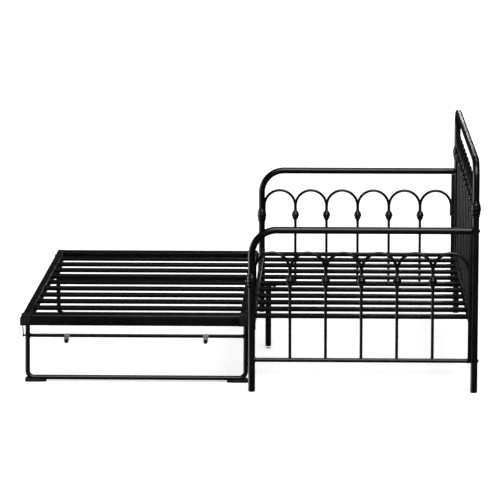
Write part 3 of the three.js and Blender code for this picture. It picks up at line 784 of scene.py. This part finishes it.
def fold_leg(end, sign):
    """A U-leg with its caster bar, bosses, pivot bolts and end stubs."""
    low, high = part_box(f"{end}_leg")
    foot_x = sign * (max(abs(low.x), abs(high.x)) - LEG_R)
    foot_z = low.z + LEG_R
    pivot = Vector(joint(f"{end}_leg_fold")["pos_m"])
    bar = Vector(joint(f"{end}_front_caster_swivel")["pos_m"])
    axis = Vector(joint(f"{end}_front_caster_swivel")["axis"])
    half = (high.y - low.y) / 2 - HEAD_REACH - LEG_R
    down = Vector((foot_x - pivot.x, 0, foot_z - pivot.z)).normalized()
    piece = Piece(f"{end}_fold_leg_frame", "black_steel")

    def at(side_reach, base):
        return Vector((base.x, TRUNDLE_Y + side_reach, base.z))

    top = pivot - down * 6 * MM
    foot = Vector((foot_x, 0, foot_z))
    piece.tube(bent_path([at(-half, top), at(-half, foot), at(half, foot), at(half, top)], LEG_BEND, 16),
               LEG_R, 32, ease=3 * MM)
    piece.rod(at(-half, bar), at(half, bar), BAR_R, 28)
    for side in (-1, 1):
        outward = Y * side
        leg_face = side * (half - LEG_R)
        piece.weld(at(leg_face, bar), -outward, BAR_R, seed=80 + side)
        lug_inner = side * (LUG_OUTER - LUG_THICK - 0.3 * MM)
        piece.rod(at(side * half, pivot), at(lug_inner, pivot), 4 * MM, 24)
        hex_head(piece, at(lug_inner, pivot), -outward, 6.8 * MM, 4 * MM)
        piece.turned([(1.6 * MM, 5 * MM), (0.8 * MM, 7.4 * MM), (0, 8 * MM)],
                     facing(at(side * (half + LEG_R - 1.5 * MM), pivot), outward), 28)
        stub_end = side * (half + LEG_R + HEAD_REACH)
        piece.rod(at(side * half, bar), at(stub_end - side * 1 * MM, bar), 4 * MM, 24)
        stub_head = [(1.6 * MM, 3.8 * MM), *PIN_HEAD[1:]]
        piece.turned(stub_head, facing(at(stub_end - side * 1.6 * MM, bar), outward), 28)
        caster = Vector(joint(f"{end}_{'front' if side < 0 else 'back'}_caster_swivel")["pos_m"])
        boss = [(12 * MM, 8.2 * MM), (11.2 * MM, 9 * MM), (7 * MM, 9 * MM), (5 * MM, 9.6 * MM), (0, 9.6 * MM)]
        piece.turned(boss, facing(caster, axis), 36)
    piece.done(f"{end}_fold_leg", f"{end}_leg")


def foot_pad(end, side_name, side):
    """A moulded pad that cups a U-leg's corner from below, with a heel, a tapered nose and grip ribs."""
    node = f"{end}_{side_name}_foot_pad"
    low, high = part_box(node)
    leg_low, leg_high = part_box(f"{end}_leg")
    sign = 1 if low.x > 0 else -1
    tube_x = sign * (max(abs(leg_low.x), abs(leg_high.x)) - LEG_R)
    left = low.x - tube_x
    right = high.x - tube_x
    length = high.y - low.y
    outer = low.y if side < 0 else high.y
    floor_z = low.z
    outside_bend = LEG_BEND + LEG_R
    piece = Piece(f"{end}_{side_name}_pad", "pad_plastic")
    # Each station: share of the length, wall height over the floor, and how wide it is.
    shape = [
        (0.0, 9, 0.72), (0.008, 15, 0.84), (0.03, 19.5, 0.94), (0.06, 21, 1.0), (0.12, 20, 1.0),
        (0.18, 17, 1.0), (0.24, 14.5, 1.0), (0.62, 14, 1.0), (0.74, 12.2, 0.97), (0.86, 10.2, 0.90),
        (0.95, 8.8, 0.78), (0.99, 8.0, 0.66), (1.0, 7.2, 0.56),
    ]
    corner = 2.4 * MM
    cup = LEG_R + 0.35 * MM
    rounding = [math.pi / 8 * i for i in range(5)]
    rings = []
    for share, tall, wide in shape:
        y = outer - side * share * length
        into_bend = max(0.0, outside_bend - share * length)
        rise = outside_bend - math.sqrt(max(0.0, outside_bend ** 2 - into_bend ** 2))
        tube_z = leg_low.z + LEG_R - floor_z + rise
        height = tall * MM
        x0 = left * wide
        x1 = right * wide
        ring = [Vector((tube_x + x0 + corner, y, floor_z))]
        ring.append(Vector((tube_x + x0, y, floor_z + 1.6 * MM)))
        for a in rounding:
            z = floor_z + height - corner * (1 - math.sin(a))
            ring.append(Vector((tube_x + x0 + corner * (1 - math.cos(a)), y, z)))
        drop = max(-0.98, min(0.98, (height - tube_z) / cup))
        spread = math.asin(drop)
        for i in range(13):
            angle = math.pi - spread + (math.pi + 2 * spread) * i / 12
            reach = math.cos(angle) * cup
            depth = math.sin(angle) * cup
            ring.append(Vector((tube_x + max(x0 + 1 * MM, min(x1 - 1 * MM, reach)), y,
                                floor_z + min(height, tube_z + depth))))
        for a in rounding:
            z = floor_z + height - corner * (1 - math.cos(a))
            ring.append(Vector((tube_x + x1 - corner * (1 - math.sin(a)), y, z)))
        ring.append(Vector((tube_x + x1, y, floor_z + 1.6 * MM)))
        ring.append(Vector((tube_x + x1 - corner, y, floor_z)))
        rings.append(ring)
    piece.loft(rings)
    for step in range(6):
        y = outer - side * (0.26 + 0.065 * step) * length
        for x in (low.x, high.x):
            lean = 1 if x > tube_x else -1
            rib = sorted((x - lean * 1.6 * MM, x - lean * 0.1 * MM))
            piece.block(Vector((rib[0], y - 1.2 * MM, low.z + 3 * MM)),
                        Vector((rib[1], y + 1.2 * MM, low.z + 12 * MM)), 0.5 * MM, 2)
    piece.done(f"{end}_fold_leg", node)


def lock_link(end, side_name, side):
    """A slotted strap that turns on the caster bar's stub and slides on the rail's anchor pin."""
    turn = joint(f"{end}_{side_name}_link_turn")
    pos = Vector(turn["pos_m"])
    low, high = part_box(f"{end}_{side_name}_link")
    sign = 1 if pos.x > 0 else -1
    pos.y = (low.y + high.y) / 2
    lean = math.atan2(ANCHOR_X - abs(pos.x), ANCHOR_Z - pos.z)
    flat = Matrix.Rotation(math.pi / 2, 4, "X")
    place = Matrix.Translation(pos) @ Matrix.Rotation(sign * lean, 4, "Y") @ flat
    piece = Piece(f"{end}_{side_name}_lock_strap", "black_steel")
    holes = [circle(LINK_EYE_R), oval(LINK_SLOT_R, LINK_SLOT_START, LINK_LENGTH)]
    piece.plate(oval(LINK_R, 0, LINK_LENGTH), holes, high.y - low.y, place, ease=0.6 * MM)
    piece.done(f"{end}_{side_name}_lock_link", f"{end}_{side_name}_link")


# -------------------------------------------------------------------- casters

CASTER_HEAD = (12.3 * MM, 15.5 * MM)
AXLE_REACH = 45 * MM
TRAIL = 20 * MM
HOOD_R = 14.3 * MM
HOOD_HALF_WIDTH = 10.6 * MM
HOOD_START = 252
HOOD_STEP = 10
HOOD_STATIONS = 14
CHEEK_MIDDLE = 10 * MM
CHEEK_FACE = 10.9 * MM
WHEEL_SPOKES = 6


def caster_frame(end, side_name):
    """A matrix whose +Z is the swivel axis, and +X the trail, at a caster's bar."""
    swivel = joint(f"{end}_{side_name}_caster_swivel")
    axis = Vector(swivel["axis"])
    trail = (Vector((axis.z * (1 if axis.x > 0 else -1), 0, -abs(axis.x)))).normalized()
    side = axis.cross(trail)
    turn = Matrix((trail, side, axis)).transposed().to_4x4()
    return Matrix.Translation(Vector(swivel["pos_m"])) @ turn


def caster_fork(end, side_name):
    """A pressed fork: swivel head and king pin, hood over the wheel, flanged cheeks and a riveted axle."""
    place = caster_frame(end, side_name)
    piece = Piece(f"{end}_{side_name}_fork", "zinc_steel")
    low, high = CASTER_HEAD
    head = [
        (high + 0.3 * MM, 5 * MM), (high, 9 * MM), (high - 0.6 * MM, 11.6 * MM), (high - 1.6 * MM, 12 * MM),
        (low + 0.8 * MM, 11.4 * MM), (low + 0.2 * MM, 9.5 * MM), (low, 8 * MM),
    ]
    king_pin = [
        (high + 3.4 * MM, 2.2 * MM), (high + 3.1 * MM, 4.4 * MM), (high + 2.2 * MM, 5.6 * MM),
        (high + 0.2 * MM, 6 * MM), (high, 6 * MM),
    ]
    piece.turned(head, place, 40)
    piece.turned(king_pin, place, 28)
    # The cheek's outline in mm: along the trail, and out from the bar along the swivel axis.
    cheek = [
        (-7, 13.6), (10, 13.6), (15, 19), (20, 26), (26, 34), (28.4, 41), (28.2, 46), (25.6, 50.4),
        (21, 52.2), (16.4, 51), (11, 47.6), (7, 42), (5.2, 36), (5.6, 30), (3, 24), (-3.4, 19),
    ]
    outline = [(x * MM, z * MM) for x, z in cheek]
    rivet = [(1.1 * MM, 1.6 * MM), (0.9 * MM, 2.9 * MM), (0.3 * MM, 3.7 * MM), (0, 3.8 * MM)]
    dimple = [(0.5 * MM, 2.2 * MM), (0.3 * MM, 3.4 * MM), (0, 4.2 * MM)]
    upright = Matrix.Rotation(math.pi / 2, 4, "X")
    for side in (-1, 1):
        across = Matrix.Translation((0, side * CHEEK_MIDDLE, 0))
        piece.plate(outline, [], 2 * MM, place @ across @ upright, ease=0.4 * MM)
        rivet_place = place @ facing(Vector((TRAIL, side * CHEEK_FACE, AXLE_REACH)), Y * side)
        piece.turned(rivet, rivet_place, 24)
        dimple_place = place @ facing(Vector((12 * MM, side * CHEEK_FACE, 28 * MM)), Y * side)
        piece.turned(dimple, dimple_place, 24)
    rings = []
    section = [
        (-HOOD_HALF_WIDTH, -0.7 * MM), (-HOOD_HALF_WIDTH, 0.5 * MM),
        (HOOD_HALF_WIDTH, 0.5 * MM), (HOOD_HALF_WIDTH, -0.7 * MM),
    ]
    for step in range(HOOD_STATIONS):
        angle = math.radians(HOOD_START - HOOD_STEP * step)
        outward = Vector((math.cos(angle), 0, math.sin(angle)))
        shell = Vector((TRAIL, 0, AXLE_REACH)) + outward * HOOD_R
        rings.append([place @ (shell + Y * y + outward * lift) for y, lift in section])
    piece.loft(rings)
    crown_low = Vector((-7 * MM, -11 * MM, low))
    crown_high = Vector((10.4 * MM, 11 * MM, high - 0.4 * MM))
    piece.block(crown_low, crown_high, 0.9 * MM, 3, place)
    axle = [place @ Vector((TRAIL, y, AXLE_REACH)) for y in (-10.5 * MM, 10.5 * MM)]
    piece.rod(*axle, 2.5 * MM, 20)
    piece.done(f"{end}_{side_name}_caster", f"{end}_{side_name}_caster_fork")


def caster_wheel(end, side_name):
    """A wheel with a crowned tread, a recessed web and a hub with a bore."""
    place = caster_frame(end, side_name) @ facing(Vector((TRAIL, 0, AXLE_REACH)), Y)
    piece = Piece(f"{end}_{side_name}_roller", "wheel_plastic")
    half = [(7.5, 3.0), (7.5, 4.8), (7.2, 5.2), (5.2, 5.6), (4.6, 6.2), (4.6, 8.2), (5.2, 8.9), (6.9, 9.3),
            (7.4, 9.8), (7.4, 10.9), (6.6, 12.0), (5.2, 12.7), (2.6, 12.95), (0.5, 13.0), (0.4, 12.7)]
    profile = [(z * MM, r * MM) for z, r in half] + [(-z * MM, r * MM) for z, r in reversed(half)]
    sides = 56
    rings = []
    for height, radius in profile:
        rings.append([
            place @ Vector((radius * math.cos(a), radius * math.sin(a), height))
            for a in (2 * math.pi * i / sides for i in range(sides))
        ])
    made = [[piece.bm.verts.new(point) for point in ring] for ring in rings]
    for low, high in zip(made, made[1:] + made[:1]):
        for i in range(sides):
            j = (i + 1) % sides
            piece.bm.faces.new((low[i], low[j], high[j], high[i]))
    for i in range(WHEEL_SPOKES):
        spoke = place @ Matrix.Rotation(2 * math.pi / WHEEL_SPOKES * i, 4, "Z")
        for face in (-1, 1):
            piece.block(Vector((5 * MM, -0.8 * MM, face * 4.2 * MM - 1 * MM)),
                        Vector((9.4 * MM, 0.8 * MM, face * 5.4 * MM + 1 * MM)), 0.3 * MM, 2, spoke)
    piece.done(f"{end}_{side_name}_wheel", f"{end}_{side_name}_caster_wheel", sharp=34)


# ---------------------------------------------------------------------- object

arm("near", END_X)
arm("far", -END_X)
back_panel()
daybed_rail("daybed_front_side_rail", "front_rail")
daybed_rail("daybed_back_side_rail", "back_rail")
middle_leg()
square_bar("daybed_centre_bar", "daybed", "daybed_middle_bar")
square_bar("trundle_centre_bar", "trundle_frame", "trundle_middle_bar")
for number in range(1, SLATS_PER_DECK + 1):
    slat(f"daybed_cross_slat_{number}", "daybed", f"daybed_slat_{number}")
    slat(f"trundle_cross_slat_{number}", "trundle_frame", f"trundle_slat_{number}")

trundle_side_rail("trundle_front_side_rail", "trundle_front_rail", -1)
trundle_side_rail("trundle_back_side_rail", "trundle_back_rail", 1)
trundle_end_rail("trundle_near_cross_rail", "trundle_near_end_rail", 1)
trundle_end_rail("trundle_far_cross_rail", "trundle_far_end_rail", -1)
for end_name, end_sign in (("near", 1), ("far", -1)):
    fold_leg(end_name, end_sign)
    for corner_name, corner_side in (("front", -1), ("back", 1)):
        foot_pad(end_name, corner_name, corner_side)
        lock_link(end_name, corner_name, corner_side)
        caster_fork(end_name, corner_name)
        caster_wheel(end_name, corner_name)

# ------------------------------------------------------------- floor and light
# The floor glows a little, casts no shadow and isn't seen in reflections, and the
# world is bright to the camera only. Together they make a plain white surround.

FLOOR_HALF = 60.0
FLOOR_GLOW = 0.55
AMBIENT = 0.02
BACKDROP = 1.0
KEY_AZIMUTH = 8
KEY_ELEVATION = 53
KEY_STRENGTH = 2.7
KEY_WIDTH = 44
LIGHT_TARGET = Vector((0, 0, 0.4))

# Each soft box: name, azimuth and elevation in degrees, distance, width, height, brightness.
# Azimuth 0 is the near end, -90 the trundle's side and 180 the far end.
SOFTBOXES = [
    ("side_softbox", -102, 0, 9, 8.0, 6.0, 3.8),
    ("front_card", 4, 13, 17, 9.0, 5.6, 0.6),
    ("back_softbox", 150, 62, 9, 5.0, 3.0, 1.8),
    ("rail_strip", 174, 7, 14, 1.6, 1.2, 5.0),
]


def studio_floor():
    """A plain white floor that runs past the picture's edges and is lit a little from within."""
    mesh = bpy.data.meshes.new("studio_floor")
    corners = [(x, y, -0.2 * MM) for x, y in ((-1, -1), (1, -1), (1, 1), (-1, 1))]
    mesh.from_pydata([(x * FLOOR_HALF, y * FLOOR_HALF, z) for x, y, z in corners], [], [(0, 1, 2, 3)])
    floor = bpy.data.objects.new("studio_floor", mesh)
    bpy.context.scene.collection.objects.link(floor)
    paint = Nodes("studio_floor_paint")
    paint.set(Base_Color=(0.93, 0.93, 0.93, 1), Roughness=0.9, Specular_IOR_Level=0.0,
              Emission_Color=(1, 1, 1, 1), Emission_Strength=FLOOR_GLOW)
    mesh.materials.append(paint.material)
    floor.visible_glossy = False
    floor.visible_shadow = False


def aim(holder, azimuth, elevation, distance, target):
    """Puts a light at an angle and distance from target, looking at it."""
    a = math.radians(azimuth)
    e = math.radians(elevation)
    offset = Vector((math.cos(e) * math.cos(a), math.cos(e) * math.sin(a), math.sin(e))) * distance
    holder.location = target + offset
    holder.rotation_euler = (-offset).to_track_quat("-Z", "Y").to_euler()


def softbox(name, azimuth, elevation, distance, width, height, radiance, target):
    """A rectangular soft light aimed at target, given by its brightness per area."""
    light = bpy.data.lights.new(name, "AREA")
    light.shape = "RECTANGLE"
    light.size = width
    light.size_y = height
    light.energy = radiance * math.pi * width * height
    holder = bpy.data.objects.new(name, light)
    bpy.context.scene.collection.objects.link(holder)
    aim(holder, azimuth, elevation, distance, target)


def key_light(azimuth, elevation, strength, width):
    """A wide, distant key that lights the whole floor evenly; width is the angle it fills, in degrees."""
    light = bpy.data.lights.new("key_light", "SUN")
    light.energy = strength
    light.angle = math.radians(width)
    holder = bpy.data.objects.new("key_light", light)
    bpy.context.scene.collection.objects.link(holder)
    aim(holder, azimuth, elevation, 10, Vector())


def studio_world(ambient, backdrop):
    """An even surround: ambient lights the object, and backdrop is what shows above the floor."""
    world = bpy.data.worlds.new("studio")
    world.use_nodes = True
    tree = world.node_tree
    seen = tree.nodes.new("ShaderNodeLightPath").outputs["Is Camera Ray"]
    level = tree.nodes.new("ShaderNodeMapRange")
    level.inputs["To Min"].default_value = ambient
    level.inputs["To Max"].default_value = backdrop
    tree.links.new(seen, level.inputs["Value"])
    tree.nodes["Background"].inputs["Color"].default_value = (1, 1, 1, 1)
    tree.links.new(level.outputs["Result"], tree.nodes["Background"].inputs["Strength"])
    bpy.context.scene.world = world


studio_floor()
studio_world(AMBIENT, BACKDROP)
key_light(KEY_AZIMUTH, KEY_ELEVATION, KEY_STRENGTH, KEY_WIDTH)
for light_name, *settings in SOFTBOXES:
    softbox(light_name, *settings, LIGHT_TARGET)

# ---------------------------------------------------------------------- camera

CAMERA_PLACE = Vector((14.238, 0.371, 2.822))
CAMERA_YAW = 0.0273
CAMERA_PITCH = 0.1623
CAMERA_LENS = 213.3
SENSOR_WIDTH = 36


def camera():
    """A long lens at the near end, a little above the deck and turned slightly towards the front."""
    data = bpy.data.cameras.new("camera")
    data.sensor_width = SENSOR_WIDTH
    data.lens = CAMERA_LENS
    data.clip_end = 200
    holder = bpy.data.objects.new("camera", data)
    bpy.context.scene.collection.objects.link(holder)
    holder.location = CAMERA_PLACE
    forward = Vector((-math.cos(CAMERA_PITCH) * math.cos(CAMERA_YAW),
                      -math.cos(CAMERA_PITCH) * math.sin(CAMERA_YAW), -math.sin(CAMERA_PITCH)))
    holder.rotation_euler = forward.to_track_quat("-Z", "Y").to_euler()
    bpy.context.scene.camera = holder


camera()
bpy.context.scene.view_settings.view_transform = "Standard"

bpy.context.view_layer.update()
